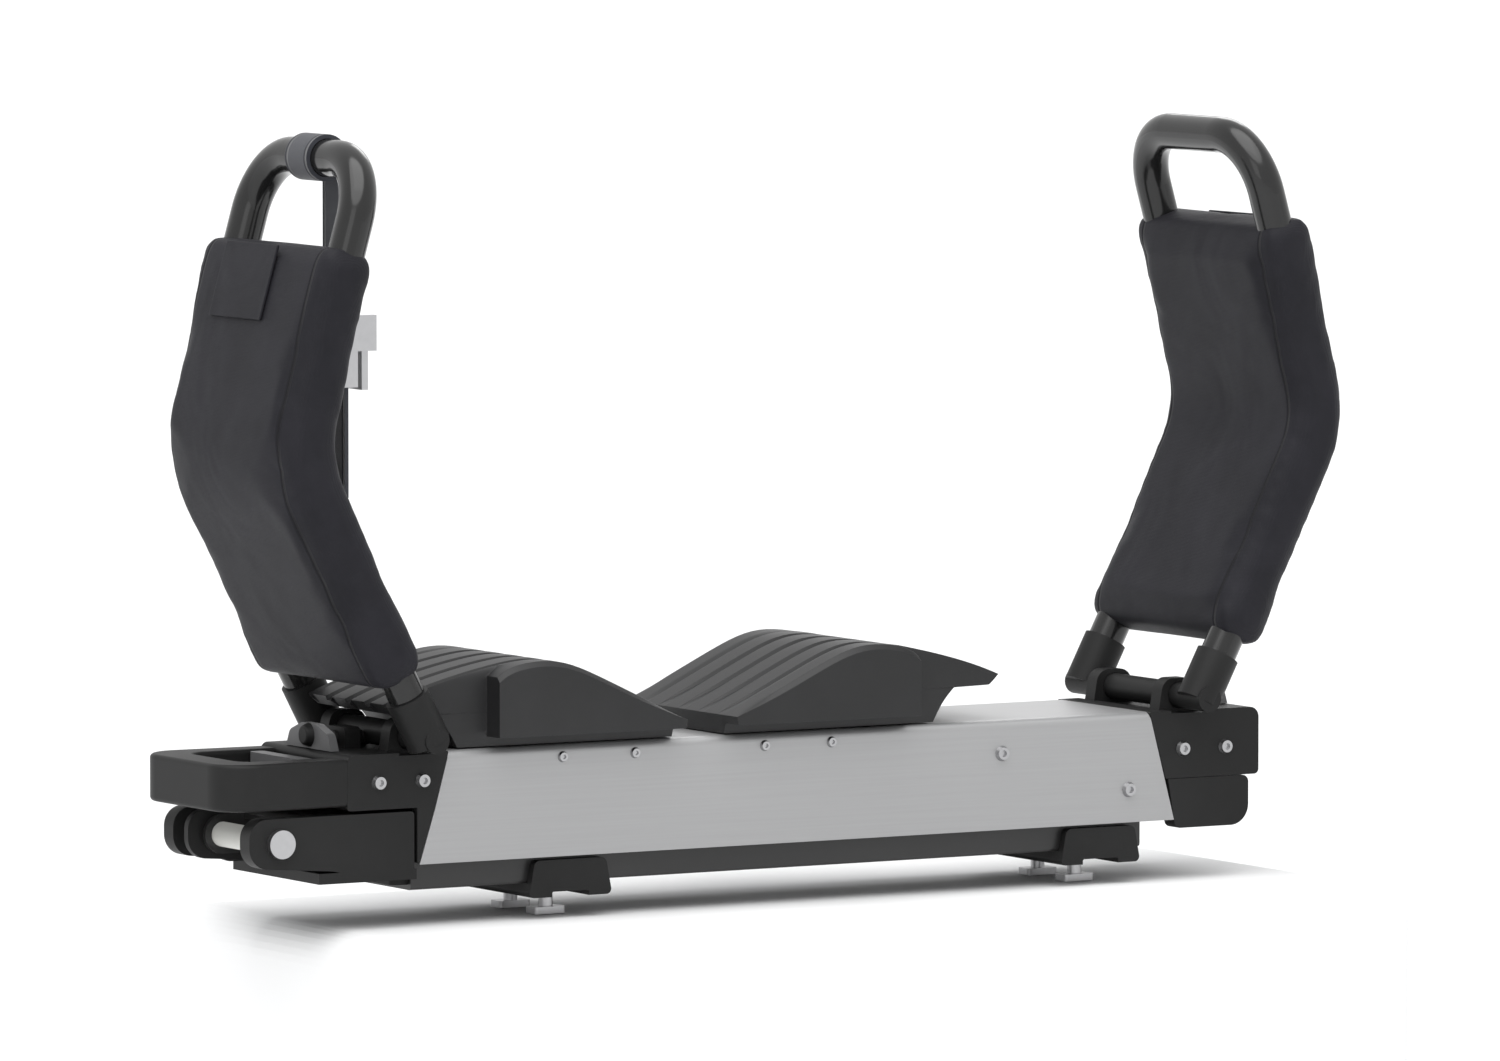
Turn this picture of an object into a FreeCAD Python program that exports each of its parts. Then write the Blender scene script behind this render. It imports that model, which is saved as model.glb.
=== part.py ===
"""Kayak saddle carrier: a tilting cradle on a pair of swing arms, clamped to one roof crossbar.

Millimetres. X runs along the crossbar from the outer (near) end to the inner (far) end, Y is the
driving direction and Z is up. The origin is on the crossbar's top face, midway between the two
clamp feet.
"""
import FreeCAD
import Part
import math
import os
import Sketcher

doc = FreeCAD.newDocument("KayakSaddleCarrier")
sheet = doc.addObject("Spreadsheet::Sheet", "Dims")
vector = FreeCAD.Vector
subparts = []


class Size:
    """A number together with the sheet expression that it comes from."""

    def __init__(self, number, text):
        self.number = float(number)
        self.text = text

    def __add__(self, other):
        other = as_size(other)
        return Size(self.number + other.number, f"({self.text} + {other.text})")

    def __sub__(self, other):
        other = as_size(other)
        return Size(self.number - other.number, f"({self.text} - {other.text})")

    def __mul__(self, other):
        other = as_size(other)
        return Size(self.number * other.number, f"({self.text} * {other.text})")

    def __truediv__(self, other):
        other = as_size(other)
        return Size(self.number / other.number, f"({self.text} / {other.text})")

    def __neg__(self):
        return Size(-self.number, f"(0 - {self.text})")

    def __radd__(self, other):
        return as_size(other) + self

    def __rsub__(self, other):
        return as_size(other) - self

    def __rmul__(self, other):
        return as_size(other) * self


def as_size(value):
    """Wraps a bare number so that it can stand in an expression."""
    return value if isinstance(value, Size) else Size(value, f"({value})")


def size(name, number, note):
    """Writes one driving dimension in the sheet and returns it."""
    row = size.row
    sheet.set(f"A{row}", note)
    sheet.set(f"B{row}", str(number))
    sheet.setAlias(f"B{row}", name)
    size.row += 1
    return Size(number, f"Dims.{name}")


size.row = 1

# Driving dimensions
unit_half_width = size("unit_half_width", 50, "half width of housing, blocks and castings")
gap = size("gap", 0.3, "clearance between seated or sliding pieces")
swing_gap = size("swing_gap", 2, "clearance between pieces that swing past each other")

foot_inset = size("foot_inset", 269, "how much shorter the feet's spacing is than the swing arm")
foot_length = size("foot_length", 54, "length of a clamp foot along the crossbar")
foot_base = size("foot_base", 8, "thickness of the foot under the rail")
foot_cheek_top = size("foot_cheek_top", 21, "height of the foot's cheeks above the bar")
foot_cheek_wall = size("foot_cheek_wall", 5, "thickness of the foot's cheeks")
bolt_spacing = size("bolt_spacing", 40, "spacing of the two track bolts of a foot, across the unit")
bolt_radius = size("bolt_radius", 4, "track bolt shank")
track_depth = size("track_depth", 12, "depth of the bolt heads below the bar's top face")

rail_start_inset = size("rail_start_inset", 87, "base rail's outer end from the base pivot")
rail_end_inset = size("rail_end_inset", 52, "base rail's inner end from the cradle pivot")
rail_clear = size("rail_clear", 4, "clearance between the rail and the housing's walls")
rail_top = size("rail_top", 26, "top of the base rail's walls")
rail_wall = size("rail_wall", 3, "wall of the base rail")

pivot_height = size("pivot_height", 39, "height of the swing arm's pivots at rest")
middle_x = size("middle_x", -52.5, "middle of the swing arm at rest")
arm_length = size("arm_length", 621, "swing arm between its pivots")
link_shift_x = size("link_shift_x", 12, "levelling link's pivots inward of the arm's")
link_shift_z = size("link_shift_z", -10, "levelling link's pivots above the arm's")
arm_radius = size("arm_radius", 11, "half height of the swing arm")
arm_wall = size("arm_wall", 3, "wall of the swing arm")
arm_gap = size("arm_gap", 2.5, "swing arm from the inner ear")
ear_thickness = size("ear_thickness", 4.5, "thickness of the castings' inner ears")
ear_gap = size("ear_gap", 3, "inner ear from the levelling link")
link_thickness = size("link_thickness", 4, "thickness of the levelling link")
link_gap = size("link_gap", 6, "levelling link from the castings' rear cheeks")
link_radius = size("link_radius", 7, "half height of the levelling link")
cheek_wall = size("cheek_wall", 11, "thickness of the castings' cheeks")
pin_radius = size("pin_radius", 5, "arm pivot pin")
link_pin_radius = size("link_pin_radius", 4, "levelling link's pivot pin")
pin_head_radius = size("pin_head_radius", 8, "pivot pin's head")
pin_head = size("pin_head", 4, "thickness of a pivot pin's head")

near_casting_reach = size("near_casting_reach", 19, "base casting outward of its pivot")
near_casting_drop = size("near_casting_drop", 13, "base casting below its pivot")
near_casting_rise = size("near_casting_rise", 14, "base casting above its pivot")

housing_low = size("housing_low", 23, "lower edge of the housing")
housing_high = size("housing_high", 86, "top face of the housing")
housing_wall = size("housing_wall", 3, "wall of the housing")
near_low_inset = size("near_low_inset", 89, "housing's lower edge from the base pivot")
near_high_inset = size("near_high_inset", 108, "housing's top edge from the base pivot")
far_low_inset = size("far_low_inset", 33, "housing's lower edge from the cradle pivot")
far_high_inset = size("far_high_inset", 50, "housing's top edge from the cradle pivot")
housing_edge = size("housing_edge", 5, "rounding of the housing's long edges")

block_clear = size("block_clear", 5, "near end block above the swing arm")
near_block_inset = size("near_block_inset", 43, "near end block from the base pivot")
far_block_reach = size("far_block_reach", 25, "far end block beyond the cradle pivot")
far_block_rise = size("far_block_rise", 8, "far end block's underside above the pivot")
spigot = size("spigot", 26, "length of the blocks' spigots inside the housing")
far_casting_reach = size("far_casting_reach", 18, "cradle casting beyond its pivot")
far_casting_drop = size("far_casting_drop", 21, "cradle casting below its pivot")

grip_reach = size("grip_reach", 35, "grip outward of the base pivot")
grip_half_width = size("grip_half_width", 54, "half width of the grip at its outer face")
grip_bar = size("grip_bar", 22, "thickness of the grip's outer bar")
grip_side = size("grip_side", 18, "thickness of the grip's side bars")
grip_lift = size("grip_lift", 2.5, "underside of the grip above the block's underside")
grip_high = size("grip_high", 84, "top of the grip")
lever_thickness = size("lever_thickness", 9, "release lever along its travel")

near_hinge_inset = size("near_hinge_inset", 88, "near upright's hinge from the base pivot")
far_hinge_inset = size("far_hinge_inset", 23, "far upright's hinge from the cradle pivot")
hinge_rise = size("hinge_rise", 8, "uprights' hinges above the housing's top")
foot_tube_radius = size("foot_tube_radius", 7.5, "cross tube of an upright's foot casting")
leg_half_spacing = size("leg_half_spacing", 60.5, "hoop legs from the unit's middle")
hoop_radius = size("hoop_radius", 10.5, "radius of the hoop tube")
lower_lean = size("lower_lean", 28, "outward lean of the hoop's lower part, degrees")
upper_lean = size("upper_lean", 16, "inward lean of the hoop's upper part, degrees")
lower_leg = size("lower_leg", 178, "hoop leg from its hinge to its bend")
upper_leg = size("upper_leg", 172, "hoop leg from its bend to the middle of its top bar")
cover_margin = size("cover_margin", 12, "padded cover beyond the middle of the hoop's legs")
socket_wall = size("socket_wall", 2, "wall of the sockets round the hoop's legs")
ear_clear = size("ear_clear", 8, "hinge ears from the upright's sockets")
ear_wall = size("ear_wall", 10, "thickness of a hinge ear")
cover_thickness = size("cover_thickness", 37, "thickness of the padded cover")
cover_start = size("cover_start", 33, "cover's lower end from the hinge")
cover_end = size("cover_end", 96, "cover's upper end from the bend")

tab_radius = size("tab_radius", 26, "radius of the half-round index tab")
tab_thickness = size("tab_thickness", 5, "thickness of the index tab")
tab_reach = size("tab_reach", 42, "index tab outward of the upright's hinge")

saddle_half_width = size("saddle_half_width", 64, "half width of a saddle pad")
saddle_tip_gap = size("saddle_tip_gap", 1, "saddle pad's outer tip from the upright's sockets")
saddle_rise = size("saddle_rise", 51, "height of a saddle pad above the housing")
saddle_reach = size("saddle_reach", 183, "middle between the saddle pads from the near hinge")
rib_width = size("rib_width", 5, "width of the grooves between the saddle's ribs")
rib_pitch = size("rib_pitch", 22, "spacing of the grooves between the saddle's ribs")
rib_depth = size("rib_depth", 2.5, "depth of the grooves between the saddle's ribs")

strap_width = size("strap_width", 25, "width of the load strap's webbing")
strap_thickness = size("strap_thickness", 2.4, "thickness of the load strap's webbing")
strap_drop = size("strap_drop", 190, "length of the strap hanging below the hoop")

# Values worked out from the driving dimensions
cheek_inner = unit_half_width - cheek_wall
rail_half_width = unit_half_width - housing_wall - rail_clear
arm_left = swing_gap - cheek_inner
link_right = cheek_inner - link_gap
link_left = link_right - link_thickness
ear_right = link_left - ear_gap
ear_left = ear_right - ear_thickness
arm_right = ear_left - arm_gap

base_pivot_x = middle_x - arm_length / 2
cradle_pivot_x = base_pivot_x + arm_length
foot_spacing = arm_length - foot_inset
rail_start = base_pivot_x + rail_start_inset
rail_end = cradle_pivot_x - rail_end_inset
near_casting_end = base_pivot_x - near_casting_reach
near_casting_low = pivot_height - near_casting_drop
near_casting_top = pivot_height + near_casting_rise
housing_near_low = base_pivot_x + near_low_inset
housing_near_high = base_pivot_x + near_high_inset
housing_far_low = cradle_pivot_x - far_low_inset
housing_far_high = cradle_pivot_x - far_high_inset
block_low = pivot_height + arm_radius + block_clear
near_block_end = base_pivot_x + near_block_inset
far_block_end = cradle_pivot_x + far_block_reach
far_block_low = pivot_height + far_block_rise
far_casting_end = cradle_pivot_x + far_casting_reach
far_casting_low = pivot_height - far_casting_drop
grip_end = base_pivot_x - grip_reach
grip_low = block_low + grip_lift
upright_foot_x = base_pivot_x + near_hinge_inset
far_foot_x = cradle_pivot_x - far_hinge_inset
upright_foot_z = housing_high + hinge_rise
mirror_x = (upright_foot_x + far_foot_x) / 2
cover_half_width = leg_half_spacing + cover_margin
socket_inner = leg_half_spacing - hoop_radius - socket_wall
ear_outer = socket_inner - ear_clear
ear_inner = ear_outer - ear_wall
saddle_tip_half_width = socket_inner - saddle_tip_gap
saddle_mirror = upright_foot_x + saddle_reach
saddle_crest = housing_high + saddle_rise
link_base_x = base_pivot_x + link_shift_x
link_cradle_x = cradle_pivot_x + link_shift_x
link_z = pivot_height + link_shift_z


def plane(body, role):
    """Returns one of the body's own origin planes."""
    return [item for item in body.Origin.OriginFeatures if item.Role == role][0]


def bind(item, prop, value):
    """Sets a property to a number or binds it to a sheet expression."""
    if isinstance(value, Size):
        item.setExpression(prop, value.text)
    else:
        item.setExpression(prop, str(float(value)))


def new_body(label):
    """Starts a named sub-part."""
    body = doc.addObject("PartDesign::Body", label)
    body.Label = label
    subparts.append(body)
    return body


def new_sketch(body, role, away):
    """Starts a sketch parallel to an origin plane, moved along that plane's normal."""
    sketch = body.newObject("Sketcher::SketchObject", f"{body.Name}_sketch")
    sketch.AttachmentSupport = [(plane(body, role), "")]
    sketch.MapMode = "FlatFace"
    bind(sketch, "AttachmentOffset.Base.z", away)
    return sketch


def pin_point(sketch, geometry, end, x, y):
    """Fixes one point of a sketch at a pair of sizes."""
    for kind, value in (("DistanceX", as_size(x)), ("DistanceY", as_size(y))):
        row = sketch.addConstraint(Sketcher.Constraint(kind, -1, 1, geometry, end, value.number))
        sketch.setExpression(f"Constraints[{row}]", value.text)


def draw_polygon(sketch, corners):
    """Draws a closed outline; a corner's third value is its rounding."""
    points = [vector(as_size(c[0]).number, as_size(c[1]).number, 0) for c in corners]
    rounding = [as_size(c[2]) if len(c) > 2 else None for c in corners]
    count = len(points)
    arrive, leave, arcs = [], [], []
    for i, point in enumerate(points):
        before = (points[i - 1] - point).normalize()
        after = (points[(i + 1) % count] - point).normalize()
        if rounding[i] is None:
            arrive.append(point)
            leave.append(point)
            arcs.append(None)
            continue
        half = before.getAngle(after) / 2
        reach = rounding[i].number / math.tan(half)
        start, end = point + before * reach, point + after * reach
        middle = (before + after).normalize()
        centre = point + middle * (rounding[i].number / math.sin(half))
        turns_left = before.cross(after).z < 0
        first, last = (start, end) if turns_left else (end, start)
        angle_a = math.atan2(first.y - centre.y, first.x - centre.x)
        angle_b = math.atan2(last.y - centre.y, last.x - centre.x)
        if angle_b < angle_a:
            angle_b += 2 * math.pi
        arrive.append(start)
        leave.append(end)
        arcs.append((centre, angle_a, angle_b, turns_left))
    lines = []
    for i in range(count):
        segment = Part.LineSegment(leave[i], arrive[(i + 1) % count])
        lines.append(sketch.addGeometry(segment, False))
    for i, arc in enumerate(arcs):
        into, out = lines[i - 1], lines[i]
        if arc is None:
            sketch.addConstraint(Sketcher.Constraint("Coincident", into, 2, out, 1))
            pin_point(sketch, out, 1, corners[i][0], corners[i][1])
            continue
        centre, angle_a, angle_b, turns_left = arc
        circle = Part.Circle(centre, vector(0, 0, 1), rounding[i].number)
        curve = sketch.addGeometry(Part.ArcOfCircle(circle, angle_a, angle_b), False)
        first, last = (1, 2) if turns_left else (2, 1)
        corner = sketch.addGeometry(Part.Point(points[i]), True)
        sketch.addConstraint(Sketcher.Constraint("Tangent", into, 2, curve, first))
        sketch.addConstraint(Sketcher.Constraint("Tangent", out, 1, curve, last))
        sketch.addConstraint(Sketcher.Constraint("PointOnObject", corner, 1, into))
        sketch.addConstraint(Sketcher.Constraint("PointOnObject", corner, 1, out))
        pin_point(sketch, corner, 1, corners[i][0], corners[i][1])
        row = sketch.addConstraint(Sketcher.Constraint("Radius", curve, rounding[i].number))
        sketch.setExpression(f"Constraints[{row}]", rounding[i].text)


def draw_circle(sketch, x, y, radius):
    """Draws a circle at a pair of sizes."""
    centre = vector(as_size(x).number, as_size(y).number, 0)
    row = sketch.addGeometry(Part.Circle(centre, vector(0, 0, 1), as_size(radius).number), False)
    pin_point(sketch, row, 3, x, y)
    hold = sketch.addConstraint(Sketcher.Constraint("Radius", row, as_size(radius).number))
    sketch.setExpression(f"Constraints[{hold}]", as_size(radius).text)


def draw(sketch, corners, holes):
    """Draws an outline, if there is one, and its round holes."""
    if corners:
        draw_polygon(sketch, corners)
    for x, y, radius in holes:
        draw_circle(sketch, x, y, radius)


def add(body, role, corners, start, end, holes=()):
    """Adds a prism of the outline from start to end along the plane's world axis."""
    start, end = as_size(start), as_size(end)
    away = -end if role == "XZ_Plane" else start
    sketch = new_sketch(body, role, away)
    draw(sketch, corners, holes)
    pad = body.newObject("PartDesign::Pad", f"{body.Name}_pad")
    pad.Profile = sketch
    bind(pad, "Length", end - start)
    sketch.Visibility = False
    return pad


def cut(body, role, corners, start, end, holes=()):
    """Cuts a prism of the outline from start to end along the plane's world axis."""
    start, end = as_size(start), as_size(end)
    away = -start if role == "XZ_Plane" else end
    sketch = new_sketch(body, role, away)
    draw(sketch, corners, holes)
    pocket = body.newObject("PartDesign::Pocket", f"{body.Name}_pocket")
    pocket.Profile = sketch
    bind(pocket, "Length", end - start)
    sketch.Visibility = False
    return pocket


def box(x_from, x_to, y_from, y_to):
    """Corners of an upright rectangle."""
    return [(x_from, y_from), (x_to, y_from), (x_to, y_to), (x_from, y_to)]


def rounded_box(x_from, x_to, y_from, y_to, radius):
    """Corners of a rectangle with rounded corners."""
    return [(x, y, radius) for x, y in box(x_from, x_to, y_from, y_to)]


def pin_across(label, x, z, y_from, y_to, radius, head=None):
    """A pin along Y; head is (from, to, radius) of its round head."""
    body = new_body(label)
    add(body, "XZ_Plane", None, y_from, y_to, holes=[(x, z, radius)])
    if head:
        add(body, "XZ_Plane", None, head[0], head[1], holes=[(x, z, head[2])])
    return body


# Base rail: an open-topped channel along the crossbar
rail = new_body("base_rail")
add(rail, "YZ_Plane", rounded_box(-rail_half_width, rail_half_width, foot_base, rail_top, 2),
    rail_start, rail_end)
cut(rail, "YZ_Plane", box(rail_wall - rail_half_width, rail_half_width - rail_wall,
    foot_base + rail_wall, rail_top + 1), rail_start - 1, rail_end + 1)
slot_half = rail_half_width - 18
for station in (-90, 0, 90):
    cut(rail, "XY_Plane", rounded_box(station - 26, station + 26, -slot_half, slot_half, 8),
        foot_base - 1, foot_base + rail_wall + 1)
bolt_centres = [(side * foot_spacing / 2, row * bolt_spacing / 2)
                for side in (-1, 1) for row in (-1, 1)]
cut(rail, "XY_Plane", None, foot_base - 1, foot_base + rail_wall + 1,
    holes=[(x, y, bolt_radius + gap) for x, y in bolt_centres])

# Clamp feet: saddles under the rail, each with two bolts into the crossbar's track
for label, side in (("near_clamp_foot", -1), ("far_clamp_foot", 1)):
    foot = new_body(label)
    centre = side * foot_spacing / 2
    low, high = centre - foot_length / 2, centre + foot_length / 2
    half = rail_half_width + gap + foot_cheek_wall
    add(foot, "XZ_Plane", [(low, 0, 3), (high, 0, 3), (high - 4, foot_cheek_top, 4),
        (low + 4, foot_cheek_top, 4)], -half, half)
    cut(foot, "XZ_Plane", box(low - 1, high + 1, foot_base, foot_cheek_top + 1),
        -(rail_half_width + gap), rail_half_width + gap)
    cut(foot, "XY_Plane", None, -1, foot_base + 1,
        holes=[(centre, row * bolt_spacing / 2, bolt_radius + gap) for row in (-1, 1)])
    cut(foot, "XZ_Plane", rounded_box(centre - 12, centre + 12, -1, 3, 1), -half - 1, half + 1)

bolt_names = ("near_front", "near_rear", "far_front", "far_rear")
nut_height = 6.5
for place, (x, y) in zip(bolt_names, bolt_centres):
    bolt = new_body(f"{place}_track_bolt")
    add(bolt, "XY_Plane", rounded_box(x - 10, x + 10, y - 6, y + 6, 2), -track_depth, 4 - track_depth)
    add(bolt, "XY_Plane", None, 4 - track_depth, foot_base + rail_wall + nut_height + 1,
        holes=[(x, y, bolt_radius)])
    nut = new_body(f"{place}_track_nut")
    across = 6.5
    hexagon = [(x + 2 * across / math.sqrt(3) * math.cos(math.radians(60 * k)),
                y + 2 * across / math.sqrt(3) * math.sin(math.radians(60 * k))) for k in range(6)]
    add(nut, "XY_Plane", hexagon, foot_base + rail_wall, foot_base + rail_wall + nut_height,
        holes=[(x, y, bolt_radius)])

# Base pivot casting: two rounded cheeks and an inner ear on a floor bolted into the rail
casting = new_body("base_pivot_casting")
floor_top = link_z - link_radius - 1
block_skirt_x = housing_near_low - 1.5
lobe_end = block_skirt_x - swing_gap
lobe = [(near_casting_end, near_casting_low, 12), (base_pivot_x + 35, near_casting_low - 4, 20),
        (rail_start - 30, floor_top - 6, 10), (lobe_end, floor_top - 6),
        (lobe_end, near_casting_top, 2), (near_casting_end, near_casting_top, 11)]
add(casting, "XY_Plane", box(base_pivot_x + 25, rail_start, -unit_half_width, unit_half_width),
    floor_top - 6, floor_top)
add(casting, "XY_Plane", rounded_box(rail_start - 10, rail_start + 44, rail_wall + gap - rail_half_width,
    rail_half_width - rail_wall - gap, 4), foot_base + rail_wall, floor_top)
for low, high in ((-unit_half_width, -cheek_inner), (cheek_inner, unit_half_width)):
    add(casting, "XZ_Plane", lobe, low, high)
add(casting, "XZ_Plane", lobe, ear_left, ear_right)
cut(casting, "XZ_Plane", None, -unit_half_width - 1, ear_right + 1,
    holes=[(base_pivot_x, pivot_height, pin_radius)])
cut(casting, "XZ_Plane", None, cheek_inner - 1, unit_half_width + 1,
    holes=[(link_base_x, link_z, link_pin_radius)])

pin_across("base_arm_pin", base_pivot_x, pivot_height, -unit_half_width, ear_right, pin_radius,
           (-unit_half_width - pin_head, -unit_half_width, pin_head_radius))
pin_across("base_link_pin", link_base_x, link_z, ear_right + 2, unit_half_width, link_pin_radius,
           (unit_half_width, unit_half_width + pin_head, link_pin_radius + 3))

# Swing arm: a channel, open downward, with bushes at both ends and a gas strut inside
arm = new_body("swing_arm")
arm_low, arm_top = pivot_height - arm_radius, pivot_height + arm_radius
arm_start, arm_end = base_pivot_x - arm_radius, cradle_pivot_x + arm_radius
nearly = arm_radius - 0.05
add(arm, "XZ_Plane", [(arm_start, arm_low, nearly), (arm_end, arm_low, nearly),
    (arm_end, arm_top, nearly), (arm_start, arm_top, nearly)], arm_left, arm_right)
cut(arm, "XZ_Plane", box(arm_start - 1, arm_end + 1, arm_low - 1, arm_top - arm_wall),
    arm_left + arm_wall, arm_right - arm_wall)
for centre in (base_pivot_x, cradle_pivot_x):
    cut(arm, "XZ_Plane", box(centre - arm_radius - 1, centre + arm_radius + 3, arm_low - 1, arm_top + 1),
        arm_left + arm_wall, arm_right - arm_wall)
cut(arm, "XZ_Plane", None, arm_left - 1, arm_right + 1,
    holes=[(x, pivot_height, pin_radius + 2) for x in (base_pivot_x, cradle_pivot_x)])
strut_pins = (base_pivot_x + 53, cradle_pivot_x - 70)
cut(arm, "XZ_Plane", None, arm_left - 1, arm_right + 1,
    holes=[(x, pivot_height - 1, link_pin_radius) for x in strut_pins])
window_pitch = (arm_length - 121) / 4
for step in range(4):
    start = base_pivot_x + 90 + window_pitch * step
    cut(arm, "XY_Plane", rounded_box(start, start + window_pitch - 55, arm_left + 12, arm_right - 12, 8),
        arm_top - arm_wall - 1, arm_top + 1)

for label, centre in (("base_arm_bush", base_pivot_x), ("cradle_arm_bush", cradle_pivot_x)):
    bush = new_body(label)
    add(bush, "XZ_Plane", None, arm_left, arm_right,
        holes=[(centre, pivot_height, pin_radius + 2), (centre, pivot_height, pin_radius + 0.2)])

strut_y = (arm_left + arm_right) / 2
for label, x in zip(("strut_base_pin", "strut_far_pin"), strut_pins):
    pin_across(label, x, pivot_height - 1, arm_left, arm_right, link_pin_radius)

strut_radius = 8
strut_body = 290
cylinder = new_body("gas_strut_cylinder")
add(cylinder, "YZ_Plane", None, strut_pins[0] + 8, strut_pins[0] + strut_body,
    holes=[(strut_y, pivot_height - 1, strut_radius)])
add(cylinder, "XZ_Plane", [(strut_pins[0] - 7, pivot_height - 8, 6.9),
    (strut_pins[0] + 10, pivot_height - 8), (strut_pins[0] + 10, pivot_height + 6),
    (strut_pins[0] - 7, pivot_height + 6, 6.9)], strut_y - 5, strut_y + 5,
    holes=[(strut_pins[0], pivot_height - 1, link_pin_radius + 0.15)])
rod = new_body("gas_strut_rod")
add(rod, "YZ_Plane", None, strut_pins[0] + strut_body, strut_pins[1] - 8,
    holes=[(strut_y, pivot_height - 1, 4)])
add(rod, "XZ_Plane", [(strut_pins[1] - 12, pivot_height - 8), (strut_pins[1] + 7, pivot_height - 8, 6.9),
    (strut_pins[1] + 7, pivot_height + 6, 6.9), (strut_pins[1] - 12, pivot_height + 6)],
    strut_y - 5, strut_y + 5, holes=[(strut_pins[1], pivot_height - 1, link_pin_radius + 0.15)])

# Levelling link: a flat bar that keeps the cradle level while the arm swings
link = new_body("levelling_link")
nearly = link_radius - 0.05
add(link, "XZ_Plane", [(link_base_x - link_radius, link_z - link_radius, nearly),
    (link_cradle_x + link_radius, link_z - link_radius, nearly),
    (link_cradle_x + link_radius, link_z + link_radius, nearly),
    (link_base_x - link_radius, link_z + link_radius, nearly)], link_left, link_right,
    holes=[(x, link_z, link_pin_radius + 0.2) for x in (link_base_x, link_cradle_x)])

# Cradle pivot casting under the far end block
far_casting = new_body("cradle_pivot_casting")
roof_low, roof_high = arm_top + 1, arm_top + 5
skirt = 3.7
shelf = unit_half_width - skirt
far_lobe = [(housing_far_low + 1, far_casting_low, 4), (far_casting_end, far_casting_low, 12),
            (far_casting_end, far_block_low - gap, 4), (housing_far_low - 4, far_block_low - gap)]
upper = box(cradle_pivot_x - 28, cradle_pivot_x - 4, far_block_low - 4, roof_high)
add(far_casting, "XY_Plane", box(cradle_pivot_x - 28, cradle_pivot_x - 4, -shelf, shelf),
    roof_low, roof_high)
for low, high in ((-shelf, -cheek_inner), (cheek_inner, shelf), (ear_left, ear_right)):
    add(far_casting, "XZ_Plane", upper, low, high)
for low, high in ((-unit_half_width, -cheek_inner), (cheek_inner, unit_half_width),
                  (ear_left, ear_right)):
    add(far_casting, "XZ_Plane", far_lobe, low, high)
cut(far_casting, "XZ_Plane", None, -unit_half_width + 4, ear_right + 1,
    holes=[(cradle_pivot_x, pivot_height, pin_radius)])
cut(far_casting, "XZ_Plane", None, cheek_inner - 1, unit_half_width - 4,
    holes=[(link_cradle_x, link_z, link_pin_radius)])
pin_across("cradle_arm_pin", cradle_pivot_x, pivot_height, 4 - unit_half_width, ear_right, pin_radius)
pin_across("cradle_link_pin", link_cradle_x, link_z, ear_right + 2, unit_half_width - 4,
           link_pin_radius)

# Housing: an inverted channel with slanted ends
housing = new_body("housing")
side = [(housing_near_low, housing_low), (housing_far_low, housing_low),
        (housing_far_high, housing_high), (housing_near_high, housing_high),
        (housing_near_high - 9, block_low - 1)]
add(housing, "XZ_Plane", side, -unit_half_width, unit_half_width)
inner = unit_half_width - housing_wall
cut(housing, "YZ_Plane", box(-inner, inner, housing_low - 1, housing_high - housing_wall),
    housing_near_low - 1, housing_far_low + 1)
doc.recompute()
long_edges = []
for number, edge in enumerate(housing.Shape.Edges, 1):
    bounds = edge.BoundBox
    is_top = abs(bounds.ZMin - housing_high.number) < 0.01
    if is_top and bounds.XLength > 100 and bounds.YLength < 0.01:
        long_edges.append(f"Edge{number}")
channel = housing.Tip
rounding = housing.newObject("PartDesign::Fillet", "housing_edges")
rounding.Base = (channel, long_edges)
bind(rounding, "Radius", housing_edge)

# Near end block with ears for the upright's hinge
hinge_bore = foot_tube_radius + gap
near_block = new_body("near_end_block")
add(near_block, "XZ_Plane", [(near_block_end, block_low, 2), (housing_near_high - 9 - gap, block_low),
    (housing_near_high - gap, housing_high, 1), (near_block_end, housing_high, 4)],
    -unit_half_width, unit_half_width)
add(near_block, "XZ_Plane", box(housing_near_high - 12, housing_near_high + spigot, block_low + 4,
    housing_high - housing_wall - gap), gap - inner, inner - gap)

skirt_inner = rail_half_width + 1
for low, high in ((-unit_half_width, -skirt_inner), (skirt_inner, unit_half_width)):
    add(near_block, "XZ_Plane", [(block_skirt_x, housing_low + 1), (housing_near_low - gap, housing_low + 1),
        (housing_near_high - 9 - gap, block_low - 1), (housing_near_high - 9 - gap, block_low + 1),
        (block_skirt_x, block_low + 1)], low, high)

# Far end block, hollow underneath so that the arm can swing out
far_block = new_body("far_end_block")
add(far_block, "XZ_Plane", [(housing_far_low - 6 + gap, far_block_low), (far_block_end, far_block_low, 3),
    (far_block_end, housing_high, 6), (housing_far_high + gap, housing_high, 1)],
    -unit_half_width, unit_half_width)
add(far_block, "XZ_Plane", box(housing_far_high - spigot, housing_far_high + 12, roof_high + 4,
    housing_high - housing_wall - gap), gap - inner, inner - gap)
cut(far_block, "XZ_Plane", [(housing_far_high - spigot - 1, far_block_low - 1),
    (far_block_end + 2, far_block_low - 1), (far_block_end + 2, housing_high - 9),
    (cradle_pivot_x - 2, roof_high + gap), (housing_far_high - spigot - 1, roof_high + gap)],
    -shelf - gap, shelf + gap)

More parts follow.
